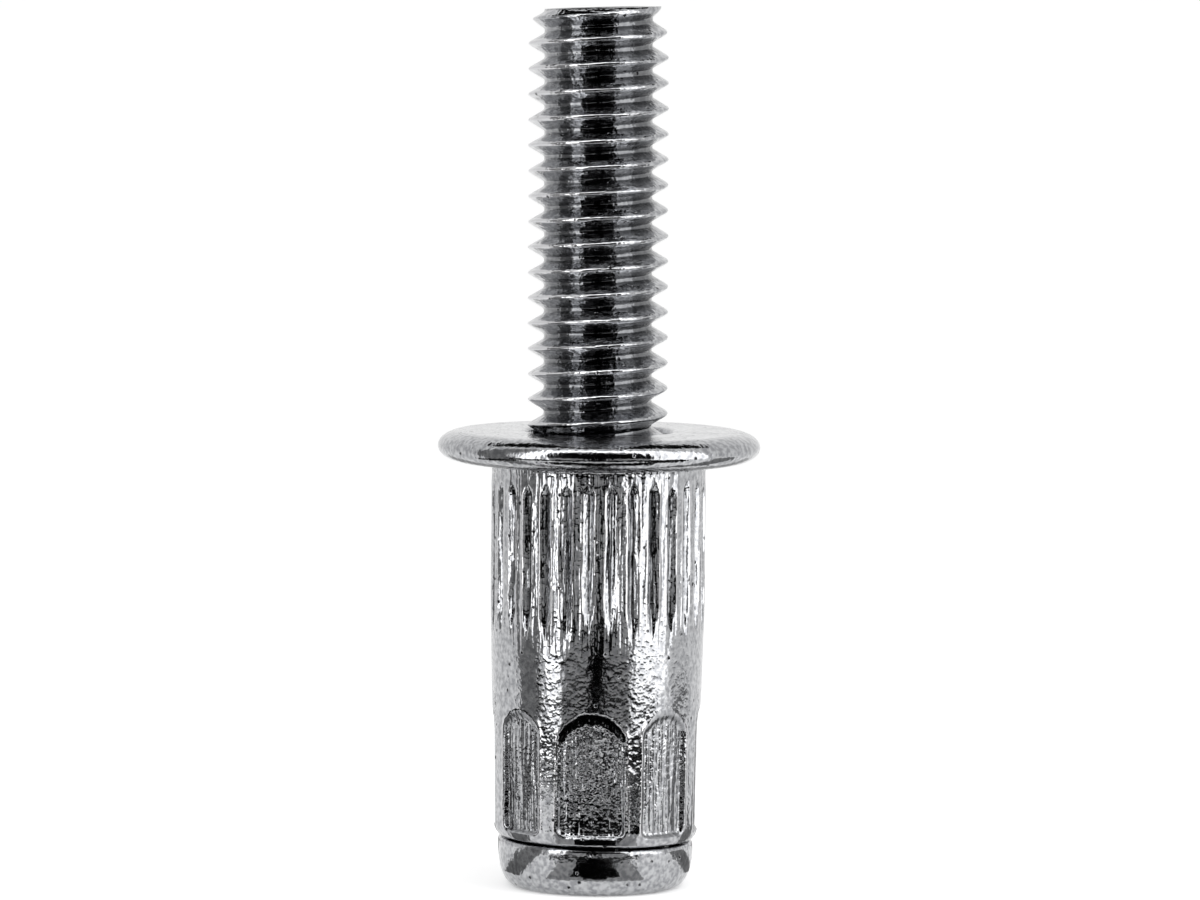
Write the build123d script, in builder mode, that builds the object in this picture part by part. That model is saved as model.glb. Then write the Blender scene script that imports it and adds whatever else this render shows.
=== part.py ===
from build123d import *
import math
import os

os.makedirs("parts", exist_ok=True)

# A blind rivet stud of two pieces, in millimetres: a headed stud held in a flanged, knurled sleeve.
# The stud's head is at the bottom, with its foot on z = 0, and the thread points up.

# The stud's threaded rod, M4 with a right-hand thread, here plain at the diameter of its crests.
thread_diameter = 3.86
thread_pitch = 0.7
thread_reach = 11.7  # from the flange up to the tip
hidden_thread = 1.2  # how far the thread goes on inside the sleeve
tip_taper_length = 1.2
tip_taper = 0.23  # how far the rod draws in at the tip, on each side
cup_rim = 0.35  # round the hollow that thread rolling leaves in the end of the rod
cup_depth = 0.12

# The stud's head.
head_diameter = 5.41
head_height = 1.36
head_band = 0.26  # the upright band at the top of the head
head_edge_width = 0.5  # from the band in to the flat foot
head_corner = 0.3  # the small radius at the foot
head_chamfer = 0.08

# The sleeve's outside, from the head up to the flange.
recess_gap = 0.3  # from the sleeve's end up to the crimp recesses
recess_length = 3.35
plain_length = 1.88
knurl_length = 4.6
knurl_gap = 0.3  # from the knurl up to the flange
shank_diameter = 5.91
collar_flare = 0.03  # how much the collar under the flange widens up to it, on each side
plain_step = 0.05  # how much the shank narrows below the knurl, on each side
crimp_taper = 0.04  # how much it narrows from there to its lower end, on each side
end_taper_length = 0.45  # the last of the sleeve, which draws in to meet the head
end_taper = 0.2  # on each side
flange_diameter = 8.93
flange_thickness = 0.85
rim_depth = 0.7  # how far the flange's rounded rim reaches inwards

# The knurl: straight V grooves that run out to a point at each end.
knurl_teeth = 30
knurl_depth = 0.11
knurl_upper_runout = 0.3
knurl_lower_runout = 0.9
knurl_overrun = 0.15  # how far the grooves run on past each end of the straight shank

# The crimp recesses: shallow arch-topped pads pressed in round the lower end.
recess_count = 8
recess_width = 1.78
recess_top_depth = 0.06
recess_bottom_depth = 0.11
recess_turn = 2.5  # degrees that the front recess lies to the left of the front

# The fits inside, each on one side.
bore_clearance = 0.09  # between the threaded rod and the bore
neck_clearance = 0.03  # between the stud's neck and the crimped end of the sleeve
mouth_chamfer = 0.05

# What follows from those sizes.
thread_radius = thread_diameter / 2
tip_radius = thread_radius - tip_taper
neck_radius = thread_radius - 0.325 * thread_pitch  # the rod before its thread was rolled
head_radius = head_diameter / 2
foot_radius = head_radius - head_edge_width
shank_radius = shank_diameter / 2
plain_radius = shank_radius - plain_step
crimped_radius = plain_radius - crimp_taper
flange_radius = flange_diameter / 2
bore_radius = thread_radius + bore_clearance
crimped_bore_radius = neck_radius + neck_clearance

shoulder_z = head_height  # where the sleeve stands on the head
recess_bottom_z = shoulder_z + recess_gap
recess_top_z = recess_bottom_z + recess_length
knurl_bottom_z = recess_top_z + plain_length
knurl_top_z = knurl_bottom_z + knurl_length
shank_bottom_z = knurl_bottom_z + knurl_overrun
shank_top_z = knurl_top_z - knurl_overrun
flange_bottom_z = knurl_top_z + knurl_gap
flange_top_z = flange_bottom_z + flange_thickness
tip_z = flange_top_z + thread_reach
thread_start_z = flange_top_z - hidden_thread


# The head's side is one large arc that meets the small one at the foot, and its band, smoothly.
side_height = head_height - head_band
side_rise = side_height - head_corner
side_radius = (head_edge_width**2 + side_rise**2 - head_corner**2) / 2 / (head_edge_width - head_corner)
side_turn = math.degrees(math.asin(side_rise / (side_radius - head_corner)))

with BuildPart() as threaded_stud:
    with BuildSketch(Plane.XZ):
        with BuildLine():
            # the head, rounded off to its flat foot
            foot = Line((0, 0), (foot_radius, 0))
            corner = JernArc(foot @ 1, (1, 0), head_corner, 90 - side_turn)
            side = JernArc(corner @ 1, corner % 1, side_radius, side_turn)
            band = Polyline(
                side @ 1,
                (head_radius, shoulder_z - head_chamfer),
                (head_radius - head_chamfer, shoulder_z),
                (neck_radius, shoulder_z),
            )
            # the neck, the rod up to its tapered tip, and the cup in its end
            Polyline(
                band @ 1,
                (neck_radius, thread_start_z - thread_radius + neck_radius),
                (thread_radius, thread_start_z),
                (thread_radius, tip_z - tip_taper_length),
                (tip_radius, tip_z),
                (tip_radius - cup_rim, tip_z),
                (0, tip_z - cup_depth),
                foot @ 0,
            )
        make_face()
    revolve(axis=Axis.Z)
threaded_stud.part.label = "threaded_stud"
export_step(threaded_stud.part, "parts/threaded_stud.step")


# One crimp recess: an arch-topped pad, as deep as the cone of its floor lets it be.
arch_radius = recess_width / 2
arch_spring = recess_length - arch_radius
with BuildPart() as recess:
    with BuildSketch(Plane((0, -shank_radius, recess_bottom_z), x_dir=(1, 0, 0), z_dir=(0, -1, 0))):
        with BuildLine():
            Polyline(
                (arch_radius, arch_spring), (arch_radius, 0), (-arch_radius, 0), (-arch_radius, arch_spring)
            )
            ThreePointArc((-arch_radius, arch_spring), (0, recess_length), (arch_radius, arch_spring))
        make_face()
    extrude(amount=-shank_radius)
    with BuildSketch(Plane.XZ):
        with BuildLine():
            Polyline(
                (0, shoulder_z),
                (crimped_radius - recess_bottom_depth, recess_bottom_z),
                (plain_radius - recess_top_depth, recess_top_z),
                (0, recess_top_z + recess_gap),
                close=True,
            )
        make_face()
    revolve(axis=Axis.Z, mode=Mode.SUBTRACT)

# One V groove of the knurl. Its cutter stands as far out of the shank as it goes in, and rises
# to a point at each end, so the groove runs out there.
vee_width = math.pi * shank_diameter / knurl_teeth
with BuildPart() as knurl_groove:
    for height in (knurl_bottom_z + knurl_lower_runout, knurl_top_z - knurl_upper_runout):
        with BuildSketch(Plane.XY.offset(height)):
            with BuildLine():
                Polyline(
                    (shank_radius - knurl_depth, 0),
                    (shank_radius + knurl_depth, -vee_width / 2),
                    (shank_radius + knurl_depth, vee_width / 2),
                    close=True,
                )
            make_face()
    lower_vee, upper_vee = knurl_groove.pending_faces
    lower_point = Vertex(shank_radius + knurl_depth, 0, knurl_bottom_z - knurl_lower_runout)
    upper_point = Vertex(shank_radius + knurl_depth, 0, knurl_top_z + knurl_upper_runout)
    loft([lower_point, lower_vee, upper_vee, upper_point], ruled=True)

# The flange's rim is a nose between two larger arcs that meet its flat faces smoothly.
nose_radius = flange_thickness / 3
half_thickness = flange_thickness / 2
nose_inset = rim_depth - nose_radius
rim_radius = (nose_inset**2 + half_thickness**2 - nose_radius**2) / 2 / (half_thickness - nose_radius)
rim_turn = math.degrees(math.atan2(nose_inset, rim_radius - half_thickness))

with BuildPart() as rivet_sleeve:
    # the shank between its collar and the part that narrows down to the stud's head
    with BuildSketch(Plane.XZ):
        with BuildLine():
            Polyline(
                (0, flange_bottom_z),
                (shank_radius + collar_flare, flange_bottom_z),
                (shank_radius, shank_top_z),
                (shank_radius, shank_bottom_z),
                (plain_radius, recess_top_z),
                (crimped_radius, shoulder_z + end_taper_length),
                (crimped_radius - end_taper, shoulder_z),
                (0, shoulder_z),
                close=True,
            )
        make_face()
    revolve(axis=Axis.Z)

    # the knurl and the crimp recesses
    with PolarLocations(0, knurl_teeth):
        add(knurl_groove.part, mode=Mode.SUBTRACT)
    with PolarLocations(0, recess_count, start_angle=-recess_turn):
        add(recess.part, mode=Mode.SUBTRACT)

    # the flange
    with BuildSketch(Plane.XZ):
        with BuildLine():
            underside = Line((0, flange_bottom_z), (flange_radius - rim_depth, flange_bottom_z))
            lower_rim = JernArc(underside @ 1, (1, 0), rim_radius, rim_turn)
            nose = JernArc(lower_rim @ 1, lower_rim % 1, nose_radius, 180 - 2 * rim_turn)
            upper_rim = JernArc(nose @ 1, nose % 1, rim_radius, rim_turn)
            Polyline(upper_rim @ 1, (0, flange_top_z), underside @ 0)
        make_face()
    revolve(axis=Axis.Z)

    # the bore: clear of the thread, and closed in round the stud's neck at the crimped end
    with BuildSketch(Plane.XZ):
        with BuildLine():
            Polyline(
                (0, shoulder_z),
                (crimped_bore_radius, shoulder_z),
                (crimped_bore_radius, recess_top_z),
                (bore_radius, recess_top_z + bore_radius - crimped_bore_radius),
                (bore_radius, flange_top_z - mouth_chamfer),
                (bore_radius + mouth_chamfer, flange_top_z),
                (0, flange_top_z),
                close=True,
            )
        make_face()
    revolve(axis=Axis.Z, mode=Mode.SUBTRACT)
rivet_sleeve.part.label = "rivet_sleeve"
export_step(rivet_sleeve.part, "parts/rivet_sleeve.step")
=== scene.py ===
import math

import bmesh
import bpy
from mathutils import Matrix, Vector, noise


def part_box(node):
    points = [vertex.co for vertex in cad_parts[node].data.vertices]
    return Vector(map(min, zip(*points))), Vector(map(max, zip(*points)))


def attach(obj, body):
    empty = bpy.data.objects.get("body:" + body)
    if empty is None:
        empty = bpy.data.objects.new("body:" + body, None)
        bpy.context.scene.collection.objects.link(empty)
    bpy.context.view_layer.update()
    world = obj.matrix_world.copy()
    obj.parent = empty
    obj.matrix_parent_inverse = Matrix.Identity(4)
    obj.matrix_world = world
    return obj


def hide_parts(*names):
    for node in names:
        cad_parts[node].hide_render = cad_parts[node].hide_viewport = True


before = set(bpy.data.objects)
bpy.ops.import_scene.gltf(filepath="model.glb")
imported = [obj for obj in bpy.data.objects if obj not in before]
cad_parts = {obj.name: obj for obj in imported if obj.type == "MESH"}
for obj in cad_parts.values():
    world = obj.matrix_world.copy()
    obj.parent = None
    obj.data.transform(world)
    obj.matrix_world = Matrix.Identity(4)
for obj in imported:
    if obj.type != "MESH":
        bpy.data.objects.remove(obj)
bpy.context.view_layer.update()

# A blind rivet stud of zinc plated steel, in two pieces: a threaded stud whose head closes the lower
# end of a flanged sleeve. Shapes are drawn in millimetres and brought to metres when they are finished.

millimetre = 0.001

studFoot, studTop = (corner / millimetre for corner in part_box("threaded_stud"))
sleeveFoot, sleeveTop = (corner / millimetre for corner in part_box("rivet_sleeve"))
tipHeight = studTop.z
headRadius = studTop.x
shoulderHeight = sleeveFoot.z  # where the sleeve stands on the stud's head
flangeTop = sleeveTop.z
flangeRadius = sleeveTop.x
print("frame loaded")


def linearColour(hexColour):
    channels = [int(hexColour[i:i + 2], 16) / 255 for i in (0, 2, 4)]
    return [c / 12.92 if c <= 0.04045 else ((c + 0.055) / 1.055) ** 2.4 for c in channels] + [1]


def smoothStep(low, high, value):
    t = min(max((value - low) / (high - low), 0), 1)
    return t * t * (3 - 2 * t)


def unevenness(seed, x, y=0.0, z=0.0):  # smooth noise from about -1 to 1, the same on every run
    return noise.noise(Vector((x + 17.3 * seed, y - 9.1 * seed, z + 4.7 * seed)))


def addNode(tree, kind, sockets, **settings):
    node = tree.nodes.new("ShaderNode" + kind)
    for name, value in settings.items():
        setattr(node, name, value)
    for name, value in sockets.items():
        if isinstance(value, bpy.types.NodeSocket):
            tree.links.new(value, node.inputs[name])
        else:
            node.inputs[name].default_value = value
    return node


def addMaterial(name):
    material = bpy.data.materials.new(name)
    material.use_nodes = True
    material.node_tree.nodes.clear()
    return material


def drawOutline(bm, corners):  # each corner is (radius, height, cuts in the line to the next corner)
    points = [bm.verts.new((radius, 0, height)) for radius, height, cuts in corners]
    lines = [bm.edges.new(ends) for ends in zip(points, points[1:])]
    for line, (radius, height, cuts) in zip(lines, corners):
        if cuts:
            bmesh.ops.subdivide_edges(bm, edges=[line], cuts=cuts)


def everything(bm):
    return bm.verts[:] + bm.edges[:] + bm.faces[:]


def extendRim(bm, rim, rows):  # carries a round rim on through rings of the given radius and height
    for radius, height in rows:
        made = bmesh.ops.extrude_edge_only(bm, edges=rim)["geom"]
        ring = {item for item in made if isinstance(item, bmesh.types.BMVert)}
        edges = [item for item in made if isinstance(item, bmesh.types.BMEdge)]
        rim = [edge for edge in edges if ring.issuperset(edge.verts)]
        for vert in ring:
            flat = Vector((vert.co.x, vert.co.y, 0)).normalized() * radius
            vert.co = (flat.x, flat.y, height)
    bmesh.ops.pointmerge(bm, verts=list(ring), merge_co=(0, 0, height))


def addShares(bm):  # shares from 0 to 1 that each point keeps for the material to read
    return [bm.verts.layers.float.new(name) for name in ("worked", "wearAndHighlight", "paintedShadeShare")]


def finishPiece(bm, name, node, material, sharpAngle):
    bmesh.ops.recalc_face_normals(bm, faces=bm.faces)
    bmesh.ops.scale(bm, vec=(millimetre,) * 3, verts=bm.verts)
    mesh = bpy.data.meshes.new(name)
    bm.to_mesh(mesh)
    bm.free()
    mesh.shade_smooth()
    mesh.set_sharp_from_angle(angle=math.radians(sharpAngle))
    mesh.materials.append(material)
    piece = bpy.data.objects.new(name, mesh)
    bpy.context.scene.collection.objects.link(piece)
    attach(piece, "root")
    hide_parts(node)
    print(name, "made,", len(mesh.polygons), "faces")


# Zinc plated steel, barrel plated: a grey metal whose thin bright coat keeps every mark of rolling
# and knurling, so it is glossy in the large, gritty and pitted close to. Lengths are in millimetres.
zincPlating = {
    "light": "B6B7B9",
    "dark": "8E8F92",
    "bright": "C2C2C4",  # crests and knurl and recess lips: partly rubbed in the barrel, partly a painted highlight
    "paintedShade": "545557",  # painted shade at the bottom of the thread's and knurl's grooves and on the recesses' walls
    "pitColour": "1E1E20",
    "roughness": (0.07, 0.16),
    "ripple": 0.9,  # from one swell of the surface to the next
    "rippleHeight": 0.016,
    "grit": 0.13,  # from grain to grain, several times the real size so that it shows
    "gritHeight": 0.017,
    "calmGrit": 0.5,  # how much of it is left where no tool has been
    "pitSpacing": 0.34,
    "pitSize": 0.17,  # as a share of that spacing
    "pitShare": 0.45,  # of the places for a pit, how many have one
    "pitHeight": 0.03,
    "scoreWidth": 0.15,  # of the fine lines that a tool leaves along the piece
    "scoreLength": 1.8,
    "scoreHeight": 0.07,
}


def makeZincPlating(name, look, alongAxis):  # the tool's lines run along the piece's axis, or round it
    material = addMaterial(name)
    tree = material.node_tree
    place = addNode(tree, "TexCoord", {}).outputs["Object"]
    worked = addNode(tree, "Attribute", {}, attribute_name="worked").outputs["Fac"]
    wearAndHighlight = addNode(tree, "Attribute", {}, attribute_name="wearAndHighlight").outputs["Fac"]
    paintedShadeShare = addNode(tree, "Attribute", {}, attribute_name="paintedShadeShare").outputs["Fac"]
    size = 1 / millimetre

    ripple = addNode(tree, "TexNoise", {"Vector": place, "Scale": size / look["ripple"], "Detail": 2.0})
    grit = addNode(tree, "TexNoise", {
        "Vector": place, "Scale": size / look["grit"], "Detail": 1.0, "Roughness": 0.5})
    across, along = size / look["scoreWidth"], size / look["scoreLength"]
    scale = (across, across, along) if alongAxis else (along, along, across)
    stretched = addNode(tree, "Mapping", {"Vector": place, "Scale": scale}).outputs["Vector"]
    score = addNode(tree, "TexNoise", {"Vector": stretched, "Scale": 1.0, "Detail": 1.0, "Roughness": 0.5})
    pitCell = addNode(tree, "TexVoronoi", {"Vector": place, "Scale": size / look["pitSpacing"]})
    pitEdge = addNode(tree, "MapRange", {
        "Value": pitCell.outputs["Distance"], "From Min": look["pitSize"] * 0.5,
        "From Max": look["pitSize"], "To Min": 1.0, "To Max": 0.0})
    chance = addNode(tree, "SeparateColor", {"Color": pitCell.outputs["Color"]}).outputs["Red"]
    pitted = addNode(tree, "Math", {0: chance, 1: 1 - look["pitShare"]}, operation="GREATER_THAN").outputs[0]
    pit = addNode(tree, "Math", {0: pitEdge.outputs["Result"], 1: pitted}, operation="MULTIPLY").outputs[0]

    tone = addNode(tree, "MapRange", {"Value": grit.outputs["Fac"], "From Min": 0.35, "From Max": 0.65})
    metal = addNode(tree, "Mix", {
        "Factor": tone.outputs["Result"], "A": linearColour(look["dark"]), "B": linearColour(look["light"])},
        data_type="RGBA")
    # crests and lips are made lighter: partly rubbed metal, partly a painted highlight
    withWearAndHighlight = addNode(tree, "Mix", {
        "Factor": wearAndHighlight, "A": metal.outputs[2], "B": linearColour(look["bright"])}, data_type="RGBA")
    # painted shade: roots, knurl grooves and recess walls are darkened in the colour itself
    withPaintedShade = addNode(tree, "Mix", {
        "Factor": paintedShadeShare, "A": withWearAndHighlight.outputs[2], "B": linearColour(look["paintedShade"])}, data_type="RGBA")
    shown = addNode(tree, "Mix", {
        "Factor": pit, "A": withPaintedShade.outputs[2], "B": linearColour(look["pitColour"])}, data_type="RGBA")
    dull = addNode(tree, "MapRange", {
        "Value": ripple.outputs["Fac"], "From Min": 0.3, "From Max": 0.7,
        "To Min": look["roughness"][0], "To Max": look["roughness"][1]})

    gritty = addNode(tree, "MapRange", {"Value": worked, "To Min": look["calmGrit"], "To Max": 1.0})
    relief = addNode(tree, "Bump", {
        "Height": ripple.outputs["Fac"], "Strength": 1.0, "Distance": look["rippleHeight"] * millimetre})
    relief = addNode(tree, "Bump", {
        "Height": grit.outputs["Fac"], "Strength": gritty.outputs["Result"],
        "Distance": look["gritHeight"] * millimetre, "Normal": relief.outputs["Normal"]})
    relief = addNode(tree, "Bump", {
        "Height": score.outputs["Fac"], "Strength": worked,
        "Distance": look["scoreHeight"] * millimetre, "Normal": relief.outputs["Normal"]})
    relief = addNode(tree, "Bump", {
        "Height": pit, "Strength": 1.0,
        "Distance": look["pitHeight"] * millimetre, "Normal": relief.outputs["Normal"]}, invert=True)
    surface = addNode(tree, "BsdfPrincipled", {
        "Base Color": shown.outputs[2], "Metallic": 1.0, "Roughness": dull.outputs["Result"],
        "Normal": relief.outputs["Normal"]})
    addNode(tree, "OutputMaterial", {"Surface": surface.outputs["BSDF"]})
    return material


# The threaded stud: a rolled M4 right-hand thread on a rod, with a rounded head at the foot.
stud = {
    "pitch": 0.7,
    "crestRadius": 1.935,
    "rootRadius": 1.49,
    "crestFlat": 0.055,  # how far above the crest the thread's sides would meet
    "rounding": 0.022,  # how softly crest and root turn
    "outlineCuts": 19,
    "stepsInTurn": 96,
    "threadedLength": 12.9,
    "tipTaperLength": 1.1,
    "tipTaperCurve": 1.6,  # 1 would be a straight taper
    "tipCrestRadius": 1.72,
    "tipDrop": 0.1,  # of the end's rim, on the side away from the last crest
    "tipDropLength": 0.5,
    "cup": ((1.36, 0), (1.28, 0.02), (1.15, 0.1), (0.7, 0.17)),  # radii and depths of the hollow end
    "wear": 0.012,  # how uneven the crests are
    "waver": 0.004,  # how uneven the whole rod is
    "neckRadius": 1.7,
    "neckTaperLength": 0.3,  # from the end of the thread down to the neck
    "headGap": 0.03,  # between the head and the sleeve's edge, which reads as a dark line
    "headTilt": 0.05,  # how much lower that line runs on the +X side, and higher on the other
    "headDents": 0.012,
    "headEdge": ((0.09, 0), (0.035, 0.02), (0.008, 0.055), (0, 0.11)),  # how far in, and how far down
    "sideHeight": 1.1,  # of the head's rounded side, below its upright band
    "sideWidth": 0.54,  # from that band in to the flat foot
    "sideCuts": 16,
    "squareness": 2.2,  # of the side; 2 would be an ellipse
    "lean": 0.0062,  # of the rod to the -X side, per millimetre above the crimp that holds it
    "crimpHeight": 5.0,
    "scored": 0.75,  # how strongly the tool's lines show
    "wearAndHighlightDepth": 0.045,  # how far down from the crests they are rubbed and painted lighter as a highlight
    # the painted shade that darkens the thread's roots
    "paintedShade": 0.8,
    "paintedShadeHeight": 0.16,  # how far the painted shade reaches above the roots
}


def threadRadius(offset, look):  # the thread's section, from root to crest to root over one pitch
    crest, root, soft = look["crestRadius"], look["rootRadius"], look["rounding"]
    flank = crest + look["crestFlat"] - abs(offset) * math.sqrt(3)
    capped = crest - soft * math.log1p(math.exp((crest - flank) / soft))
    return root + soft * math.log1p(math.exp((capped - root) / soft))


def headOutline(look):  # from the end of the thread down to the foot
    neck = look["neckRadius"]
    top = shoulderHeight - look["headGap"]
    rows = [(neck, tipHeight - look["threadedLength"] - look["neckTaperLength"])]
    rows += [(neck, look["crimpHeight"] + 1), (neck, top), (2.1, top)]
    rows += [(headRadius - inset, top - down) for inset, down in look["headEdge"]]
    for i in range(look["sideCuts"] + 1):
        down = math.sin(math.pi / 2 * i / look["sideCuts"])
        inset = 1 - max(1 - down ** look["squareness"], 0) ** (1 / look["squareness"])
        rows.append((headRadius - inset * look["sideWidth"], (1 - down) * look["sideHeight"]))
    return rows + [(1.6, 0), (0.8, 0)]


def drawThread(bm, look):  # one turn of the helix, repeated upwards past both ends and cut off there
    pitch = look["pitch"]
    turns = math.ceil(look["threadedLength"] / pitch) + 1
    lowestCrest = tipHeight - turns * pitch
    cuts = look["outlineCuts"]
    offsets = [pitch * (i / (cuts + 1) - 0.5) for i in range(cuts + 2)]
    drawOutline(bm, [(threadRadius(offset, look), lowestCrest + offset, 0) for offset in offsets])
    steps = look["stepsInTurn"]
    bmesh.ops.spin(bm, geom=everything(bm), axis=(0, 0, 1), dvec=(0, 0, pitch / steps),
                   angle=math.tau, steps=steps)
    bmesh.ops.spin(bm, geom=everything(bm), axis=(0, 0, 1), dvec=(0, 0, pitch),
                   angle=0, steps=turns, use_duplicate=True)
    bmesh.ops.remove_doubles(bm, verts=bm.verts, dist=pitch / steps / 4)

    taperFoot = tipHeight - look["tipTaperLength"]
    for vert in bm.verts:
        radius = math.hypot(vert.co.x, vert.co.y)
        share = (radius - look["rootRadius"]) / (look["crestRadius"] - look["rootRadius"])
        along = min(max((vert.co.z - taperFoot) / look["tipTaperLength"], 0), 1)
        lost = share * along ** look["tipTaperCurve"] * (look["crestRadius"] - look["tipCrestRadius"])
        lost -= share ** 3 * look["wear"] * unevenness(3, *(vert.co * 2.2))
        lost += look["waver"] * unevenness(4, *(vert.co * 5))
        vert.co.xy *= (radius - lost) / radius

    for height, away in ((tipHeight, 1), (tipHeight - look["threadedLength"], -1)):
        bmesh.ops.bisect_plane(bm, geom=everything(bm), dist=1e-5, plane_co=(0, 0, height),
                               plane_no=(0, 0, away), clear_outer=True)


def makeStud(look, material):
    bm = bmesh.new()
    drawThread(bm, look)
    openEdges = [edge for edge in bm.edges if edge.is_boundary]
    upper = [edge for edge in openEdges if edge.verts[0].co.z > flangeTop]
    lower = [edge for edge in openEdges if edge.verts[0].co.z < flangeTop]
    extendRim(bm, lower, headOutline(look))
    extendRim(bm, upper, [(radius, tipHeight - depth) for radius, depth in look["cup"]])

    dropFoot = tipHeight - look["tipDropLength"]
    for vert in bm.verts:
        x, y, z = vert.co
        side = x / max(math.hypot(x, y), 0.01)
        if z > dropFoot:  # the end's rim is highest where the last crest runs out
            vert.co.z -= look["tipDrop"] * (1 - side) / 2 * smoothStep(dropFoot, tipHeight, z)
        vert.co.x -= look["lean"] * max(z - look["crimpHeight"], 0)
        if 0 < z < 3:  # the tilt grows from the foot to the top of the head, and is gone 3 mm up
            tilt = smoothStep(0.2, shoulderHeight - 0.1, z) * (1 - smoothStep(1.5, 3, z))
            vert.co.z -= look["headTilt"] * x / headRadius * tilt
        if 0.01 < z < shoulderHeight + 0.01:  # dents only go inwards
            dent = look["headDents"] * (1 - unevenness(5, x * 1.1, y * 1.1, z * 1.4))
            vert.co.xy *= 1 - dent / headRadius

    worked, wearAndHighlight, paintedShadeShare = addShares(bm)
    crest, root = look["crestRadius"], look["rootRadius"]
    for vert in bm.verts:
        x, y, z = vert.co
        radius = math.hypot(x, y)
        onRod = smoothStep(shoulderHeight + 2, shoulderHeight + 3, z)
        vert[worked] = look["scored"] * smoothStep(shoulderHeight, shoulderHeight + 1, z)
        # crests made lighter, partly rubbed and partly a painted highlight; roots darkened with painted
        # shade
        vert[wearAndHighlight] = onRod * smoothStep(crest - look["wearAndHighlightDepth"], crest, radius)
        aboveRoot = smoothStep(root + 0.02, root + look["paintedShadeHeight"], radius)
        vert[paintedShadeShare] = look["paintedShade"] * onRod * (1 - aboveRoot)
    finishPiece(bm, "threadedStud", "threaded_stud", material, 50)


# The rivet sleeve: a turned and knurled barrel with a flange, crimped on to the stud's neck.
sleeve = {
    "steps": 480,  # round the axis
    "flangeThickness": 0.85,
    "rimDepth": 0.7,
    "rimCuts": 22,
    "collarRadius": 2.985,
    "collarFillet": 0.05,
    "shankRadius": 2.955,
    "shankBottom": 7.6,
    "runoutFoot": 10.6,
    "shankTop": 11.5,
    "plainRadius": 2.905,
    "plainTop": 6.7,
    "crimpTop": 5.2,
    "crimpedRadius": 2.865,
    "endHeight": 0.46,  # of the rounded lower end
    "endGap": 0.015,  # up from the shoulder, beside the head's own gap
    "boreRadius": 2.02,
    "boreBottom": 5.3,
    "crimpedBoreRadius": 1.733,
    "crimpedBoreTop": 5.0,
    "mouthWidth": 0.1,  # of the round at the top of the bore
    "mouthDepth": 0.09,
    "dents": 0.006,  # of the outside
    "flangeDents": 0.012,
    "waver": 0.003,  # how uneven all of it is
    "scored": 0.8,  # how strongly the tool's lines show on the knurl
    "paintedShade": 0.9,  # painted shade in the knurl's grooves
    "wallPaintedShade": 0.8,  # painted shade on the walls of the crimp recesses
}
knurl = {
    "teeth": 30,
    "turn": 1.0,  # degrees from the front to the middle of the land there
    "depth": 0.13,
    "depthWaver": 0.35,  # as a share of the depth
    "halfWidth": 3.3,  # degrees
    "turnWaver": 0.35,  # degrees
    "lip": 0.014,  # metal pushed up along each groove
    "lipPlace": 1.12,  # in half widths from the groove's middle
    "lipWidth": 0.18,
    "top": 11.42,
    "topWaver": 0.16,
    "bottom": 7.05,
    "bottomWaver": 0.3,
    "upperRunout": 0.35,
    "lowerRunout": 0.8,
}
crimp = {
    "count": 8,
    "turn": -2.5,  # degrees from the front to the middle of the front recess
    "halfWidths": (0.95, 0.8, 0.86, 0.9, 0.84, 0.92, 0.82, 0.72),
    "edgeWaver": 0.018,
    "bottom": 1.62,
    "top": 5.17,
    "topDepth": 0.11,
    "bottomDepth": 0.15,
    "topSlope": 0.54,  # how far the arch takes to reach its depth
    "sideSlope": 0.11,
    "bottomSlope": 0.16,
    "cornerRadius": 0.25,  # at the recess's two lower corners
    "lip": 0.012,
    "lipPlace": 0.05,  # outside the recess's edge
    "lipWidth": 0.045,
}


def sleeveOutline(look):
    flangeBottom = flangeTop - look["flangeThickness"]
    end = shoulderHeight + look["endGap"]
    middle = flangeTop - look["flangeThickness"] / 2
    corners = [
        (look["crimpedBoreRadius"], end + 0.02, 2),
        (2.2, end, 2),
        (2.6, end, 0),
        (2.655, end + 0.015, 0),
        (2.71, end + 0.05, 1),
        (2.775, end + 0.14, 1),
        (2.825, end + 0.26, 2),
        (2.855, end + 0.38, 1),
        (look["crimpedRadius"], end + look["endHeight"], 56),  # closely cut, for the crimp recesses
        (look["plainRadius"], look["crimpTop"], 20),
        (look["shankRadius"] - 0.01, look["plainTop"], 10),
        (look["shankRadius"], look["shankBottom"], 22),
        (look["shankRadius"], look["runoutFoot"], 12),  # more closely again, where the knurl runs out
        (look["shankRadius"], look["shankTop"], 2),
        (look["collarRadius"], flangeBottom - 0.06, 1),
        (look["collarRadius"] + look["collarFillet"], flangeBottom, 6),
    ]
    for i in range(look["rimCuts"] + 1):
        turn = math.pi * (i / look["rimCuts"] - 0.5)
        radius = flangeRadius - look["rimDepth"] * (1 - math.cos(turn))
        corners.append((radius, middle + look["flangeThickness"] / 2 * math.sin(turn), 0))
    corners[-1] = (flangeRadius - look["rimDepth"], flangeTop, 12)  # and on across the flat top
    corners += [
        (look["boreRadius"] + look["mouthWidth"], flangeTop, 1),
        (look["boreRadius"] + 0.03, flangeTop - 0.025, 0),
        (look["boreRadius"], flangeTop - look["mouthDepth"], 6),
        (look["boreRadius"], look["boreBottom"], 0),
        (look["crimpedBoreRadius"], look["crimpedBoreTop"], 4),
        (look["crimpedBoreRadius"], end + 0.02, 0),
    ]
    return corners


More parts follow.
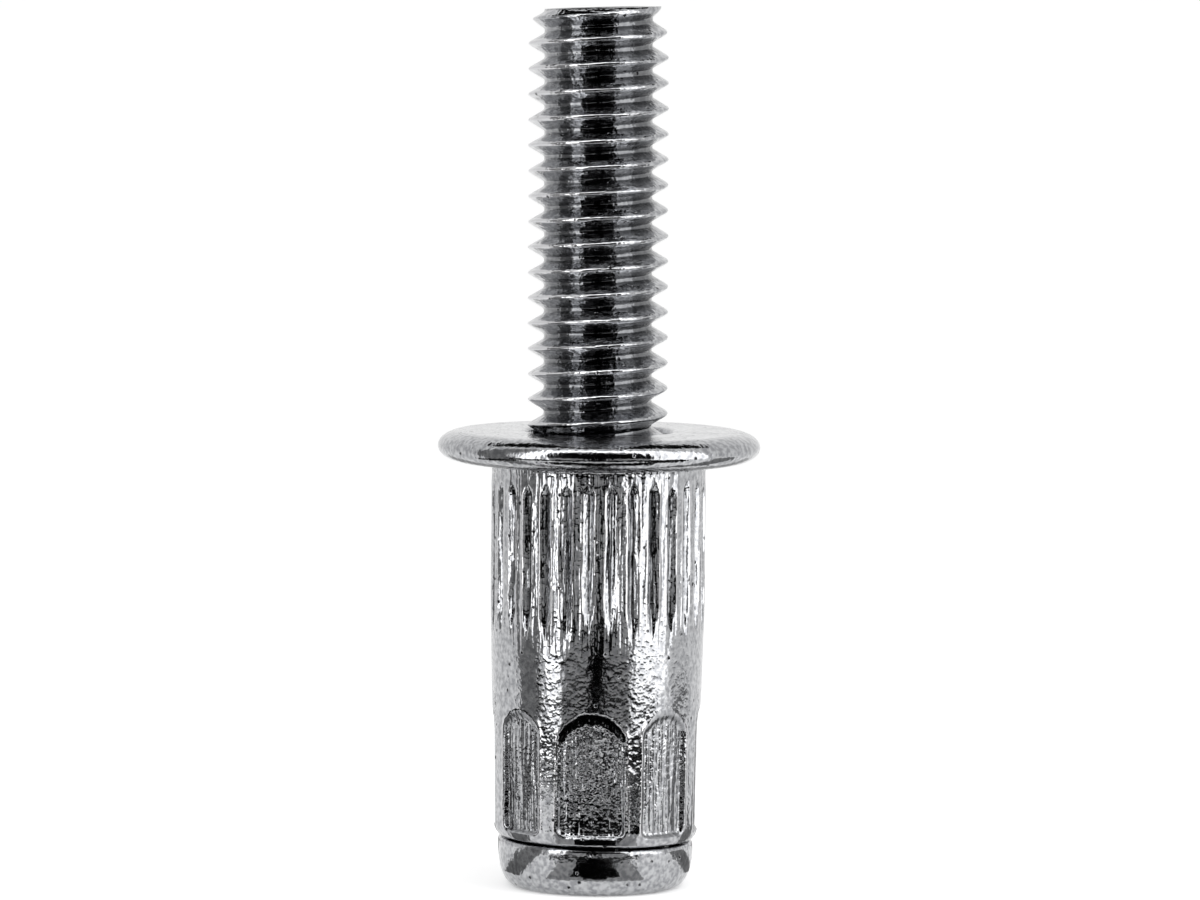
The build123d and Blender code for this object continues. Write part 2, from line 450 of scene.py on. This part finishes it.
def knurlDepth(turn, height, look):  # how deep the knurl is at that turn from the front, in degrees
    spacing = 360 / look["teeth"]
    tooth = round((turn - look["turn"]) / spacing - 0.5)
    middle = (tooth + 0.5) * spacing + look["turn"]
    middle += look["turnWaver"] * unevenness(1, tooth * 3.7, height * 1.3)
    top = look["top"] + look["topWaver"] * unevenness(2, tooth * 5.1)
    bottom = look["bottom"] + look["bottomWaver"] * unevenness(6, tooth * 2.3)
    deep = look["depth"] * (1 + look["depthWaver"] * unevenness(7, tooth * 4.1, height * 0.8))
    reach = min((height - bottom) / look["lowerRunout"], (top - height) / look["upperRunout"])
    reach = min(max(reach, -1), 1)
    away = abs(turn - middle) / look["halfWidth"]
    ridge = look["lip"] * math.exp(-((away - look["lipPlace"]) / look["lipWidth"]) ** 2) * max(reach, 0)
    return max(deep * (reach - away), 0) - ridge


def recessDepth(turn, height, radius, look):  # how deep, and how far down the recess's wall, from 0 to 1
    spacing = 360 / look["count"]
    pad = round((turn - look["turn"]) / spacing)
    middle = pad * spacing + look["turn"]
    halfWidth = look["halfWidths"][pad % look["count"]]
    sideways = radius * math.sin(math.radians(turn - middle))
    sideways += look["edgeWaver"] * unevenness(8, pad * 3.1, height * 2.2, sideways)
    archMiddle = look["top"] - halfWidth
    if height > archMiddle:  # the round top
        inside = halfWidth - math.hypot(sideways, height - archMiddle)
        steep = smoothStep(0, halfWidth, height - archMiddle)
    else:
        inside = halfWidth - abs(sideways)
        steep = 0
    slope = look["sideSlope"] + (look["topSlope"] - look["sideSlope"]) * steep
    corner = look["cornerRadius"]
    intoCorner = min(max(corner - inside, 0), corner)
    low = look["bottom"] + corner - math.sqrt(corner ** 2 - intoCorner ** 2)
    wall = smoothStep(-0.01, slope, inside) * smoothStep(low, low + look["bottomSlope"], height)
    down = (look["top"] - height) / (look["top"] - look["bottom"])
    deep = look["topDepth"] + (look["bottomDepth"] - look["topDepth"]) * min(max(down, 0), 1)
    deep *= wall
    if look["bottom"] + 0.1 < height < archMiddle + 0.4:  # the lip runs up both sides
        deep -= look["lip"] * math.exp(-((inside + look["lipPlace"]) / look["lipWidth"]) ** 2)
    return deep, wall


def makeSleeve(look, material):
    bm = bmesh.new()
    drawOutline(bm, sleeveOutline(look))
    bmesh.ops.spin(bm, geom=everything(bm), axis=(0, 0, 1), angle=math.tau / 8, steps=look["steps"] // 8)
    bmesh.ops.spin(bm, geom=everything(bm), axis=(0, 0, 1), angle=math.tau * 7 / 8, steps=7,
                   use_duplicate=True)
    bmesh.ops.remove_doubles(bm, verts=bm.verts, dist=1e-4)

    worked, wearAndHighlight, paintedShadeShare = addShares(bm)
    flangeBottom = flangeTop - look["flangeThickness"]
    for vert in bm.verts:
        x, y, z = vert.co
        radius = math.hypot(x, y)
        lost = look["waver"] * unevenness(9, x * 3, y * 3, z * 3)
        if radius > 2.5 and z < flangeBottom - 0.05:  # the outside, below the flange
            turn = math.degrees(math.atan2(x, -y))  # from the front, towards +X
            recess, inRecess = recessDepth(turn, z, radius, crimp)
            groove = knurlDepth(turn, z, knurl)
            lost += recess + groove
            lost += look["dents"] * (1 + unevenness(10, x * 0.9, y * 0.9, z * 0.9))
            # painted shade on the recess walls and in the knurl's grooves; lips made lighter, partly rubbed
            # and partly a painted highlight
            wallPaintedShade = look["wallPaintedShade"] * (4 * inRecess * (1 - inRecess)) ** 2
            vert[worked] = max(inRecess, look["scored"] * smoothStep(6.3, look["shankBottom"], z))
            vert[wearAndHighlight] = smoothStep(0, 0.01, -recess - groove)
            vert[paintedShadeShare] = max(look["paintedShade"] * smoothStep(0.35, 1, groove / knurl["depth"]), wallPaintedShade)
        elif radius > look["collarRadius"] + 0.2:  # the flange
            lost += look["flangeDents"] * (1 + unevenness(11, x * 0.6, y * 0.6, z))
        vert.co.xy *= (radius - lost) / radius
        tilt = 1 - smoothStep(shoulderHeight, shoulderHeight + 1.2, z)  # the end follows the tilted head
        vert.co.z -= stud["headTilt"] * x / headRadius * tilt
    finishPiece(bm, "rivetSleeve", "rivet_sleeve", material, 50)


makeStud(stud, makeZincPlating("zincPlatedRolledSteel", zincPlating, False))
makeSleeve(sleeve, makeZincPlating("zincPlatedKnurledSteel", zincPlating, True))


# The studio: a pale floor, soft boxes, and black, grey and white card that lies and stands round the
# stud, because bright metal only shows its shape by what it reflects. Lengths are in metres from the
# stud's axis and the floor, and turns in degrees from the front towards +X.
studio = {
    "floorSize": 12.0,
    "floorColour": "F2F2F2",
    "cameraDistance": 0.178,
    "cameraHeight": 0.0265,
    "aimHeight": 0.0121,
    "aimSide": 0.00003,
    "viewHeight": 0.02485,  # of the frame, at the object
    "roll": 0.55,  # degrees
}
softBoxes = {  # place as turn, distance and height, then the height it faces, its size and brightness
    "leftBox": ((-47, 0.036, 0.04), 0.04, (0.01, 0.08), 2.4),
    "rightBox": ((59, 0.036, 0.04), 0.04, (0.026, 0.08), 1.8),
    "topBox": ((0, 0.02, 0.07), 0.012, (0.06, 0.016), 2.4),
}
lying, raised = 0.0004, 0.0006  # heights of card on the floor, some over other card
threadRing = [(0.0136, raised), (0.0188, raised)]  # what the thread's sides and the recesses' grit show
cards = {  # the first and last turn, the card's profile as distances and heights, and its colour
    "footCard": ((-17, 17), [(0.0029, lying), (0.0065, lying)], "040404"),  # darkens the head
    "upperCard": ((-36, 36), [(0.0325, 0.0105), (0.0325, 0.05)], "060606"),  # the thread's crests and roots
    "archCard": ((-45, 45), [(0.0066, lying), (0.0138, lying)], "030303"),  # the arches of the recesses
    "rimCard": ((-66, 66), [(0.019, lying), (0.0335, lying)], "030303"),  # the flange's lower edge
    "threadLeftPatch": ((-60, -29), threadRing, "FAFAFA"),
    "threadFrontPatch": ((-18, 30), threadRing, "FAFAFA"),
    "threadLeftCard": ((-105, -64), threadRing, "080808"),
    "threadRightCard": ((34, 62), threadRing, "303030"),
    "overheadCard": ((120, 240), [(0.0, 0.085), (0.03, 0.085), (0.055, 0.07)], "0C0C0C"),
}
# The bands down the stud's sides: at the front the card is folded up, at the back it only lies there.
for name, turn, reach in (("front", 0, 0.08), ("back", 180, lying)):
    flat = [(0.0029, 0.0002), (0.034, 0.0002)]
    upright = [(0.034, reach)]
    black = [(0.0029, 0.0003), (0.033, 0.0003), (0.033, reach)]
    cards[name + "GreyCard"] = ((turn - 36, turn + 36), flat + upright, "B2B2B2")
    cards[name + "BlackCard"] = ((turn - 8, turn + 8), black, "040404")
    cards[name + "SideCard"] = ((turn - 92, turn - 62), flat + upright, "8C8C8C")


def placeFacing(obj, place, target):
    obj.location = place
    obj.rotation_euler = (Vector(target) - Vector(place)).to_track_quat("-Z", "Y").to_euler()


def aroundAxis(turn, distance, height):
    turn = math.radians(turn)
    return Vector((distance * math.sin(turn), -distance * math.cos(turn), height))


def addSoftBox(name, place, aimHeight, size, brightness):
    lamp = bpy.data.lights.new(name, "AREA")
    lamp.shape = "RECTANGLE"
    lamp.size, lamp.size_y = size
    lamp.energy = brightness * math.pi * size[0] * size[1]
    box = bpy.data.objects.new(name, lamp)
    box.visible_camera = False
    bpy.context.scene.collection.objects.link(box)
    placeFacing(box, aroundAxis(*place), (0, 0, aimHeight))


def addCard(name, turns, profile, colour):
    bm = bmesh.new()
    corners = [bm.verts.new(aroundAxis(turns[0], distance, height)) for distance, height in profile]
    folds = [bm.edges.new(ends) for ends in zip(corners, corners[1:])]
    bmesh.ops.spin(bm, geom=corners + folds, axis=(0, 0, 1), angle=math.radians(turns[1] - turns[0]),
                   steps=24)
    mesh = bpy.data.meshes.new(name)
    bm.to_mesh(mesh)
    bm.free()
    material = addMaterial(name)
    tree = material.node_tree
    card = addNode(tree, "BsdfDiffuse", {"Color": linearColour(colour)})
    addNode(tree, "OutputMaterial", {"Surface": card.outputs["BSDF"]})
    mesh.materials.append(material)
    piece = bpy.data.objects.new(name, mesh)
    piece.visible_camera = False  # it stands between the stud and some views
    piece.visible_diffuse = False
    piece.visible_shadow = False
    bpy.context.scene.collection.objects.link(piece)


def makeFloor():
    bm = bmesh.new()
    bmesh.ops.create_grid(bm, x_segments=1, y_segments=1, size=studio["floorSize"] / 2)
    mesh = bpy.data.meshes.new("floor")
    bm.to_mesh(mesh)
    bm.free()
    material = addMaterial("palePaper")
    tree = material.node_tree
    path = addNode(tree, "LightPath", {})
    seen = addNode(tree, "Math", {
        0: path.outputs["Is Camera Ray"], 1: path.outputs["Is Glossy Ray"]}, operation="MAXIMUM")
    paper = addNode(tree, "BsdfDiffuse", {"Color": linearColour(studio["floorColour"])})
    lift = addNode(tree, "Emission", {"Color": (1, 1, 1, 1), "Strength": 0.3})
    lifted = addNode(tree, "AddShader", {0: paper.outputs["BSDF"], 1: lift.outputs["Emission"]})
    shown = addNode(tree, "MixShader", {
        0: seen.outputs[0], 1: paper.outputs["BSDF"], 2: lifted.outputs["Shader"]})
    addNode(tree, "OutputMaterial", {"Surface": shown.outputs["Shader"]})
    mesh.materials.append(material)
    floor = bpy.data.objects.new("floor", mesh)
    bpy.context.scene.collection.objects.link(floor)


def makeWorld():  # white where it is seen, and a little less as light
    world = bpy.data.worlds.new("studioWorld")
    bpy.context.scene.world = world
    world.use_nodes = True
    tree = world.node_tree
    tree.nodes.clear()
    path = addNode(tree, "LightPath", {})
    seen = addNode(tree, "Math", {
        0: path.outputs["Is Camera Ray"], 1: path.outputs["Is Glossy Ray"]}, operation="MAXIMUM")
    seen = addNode(tree, "Math", {
        0: seen.outputs[0], 1: path.outputs["Is Transmission Ray"]}, operation="MAXIMUM")
    light = addNode(tree, "MixRGB", {0: seen.outputs[0], 1: (0.8, 0.8, 0.8, 1), 2: (1, 1, 1, 1)})
    sky = addNode(tree, "Background", {"Color": light.outputs[0], "Strength": 1.0})
    addNode(tree, "OutputWorld", {"Surface": sky.outputs["Background"]})


def makeCamera():
    camera = bpy.data.cameras.new("camera")
    view = bpy.data.objects.new("camera", camera)
    bpy.context.scene.collection.objects.link(view)
    place = Vector((studio["aimSide"], -studio["cameraDistance"], studio["cameraHeight"]))
    target = Vector((studio["aimSide"], 0, studio["aimHeight"]))
    placeFacing(view, place, target)
    view.rotation_euler.rotate_axis("Z", math.radians(studio["roll"]))
    camera.sensor_fit = "VERTICAL"
    camera.angle = 2 * math.atan(studio["viewHeight"] / 2 / (target - place).length)
    camera.clip_start = 0.001
    camera.clip_end = 20
    bpy.context.scene.camera = view


makeFloor()
makeWorld()
makeCamera()
for name, settings in softBoxes.items():
    addSoftBox(name, *settings)
for name, settings in cards.items():
    addCard(name, *settings)
bpy.context.scene.view_settings.view_transform = "Standard"
print("studio made")
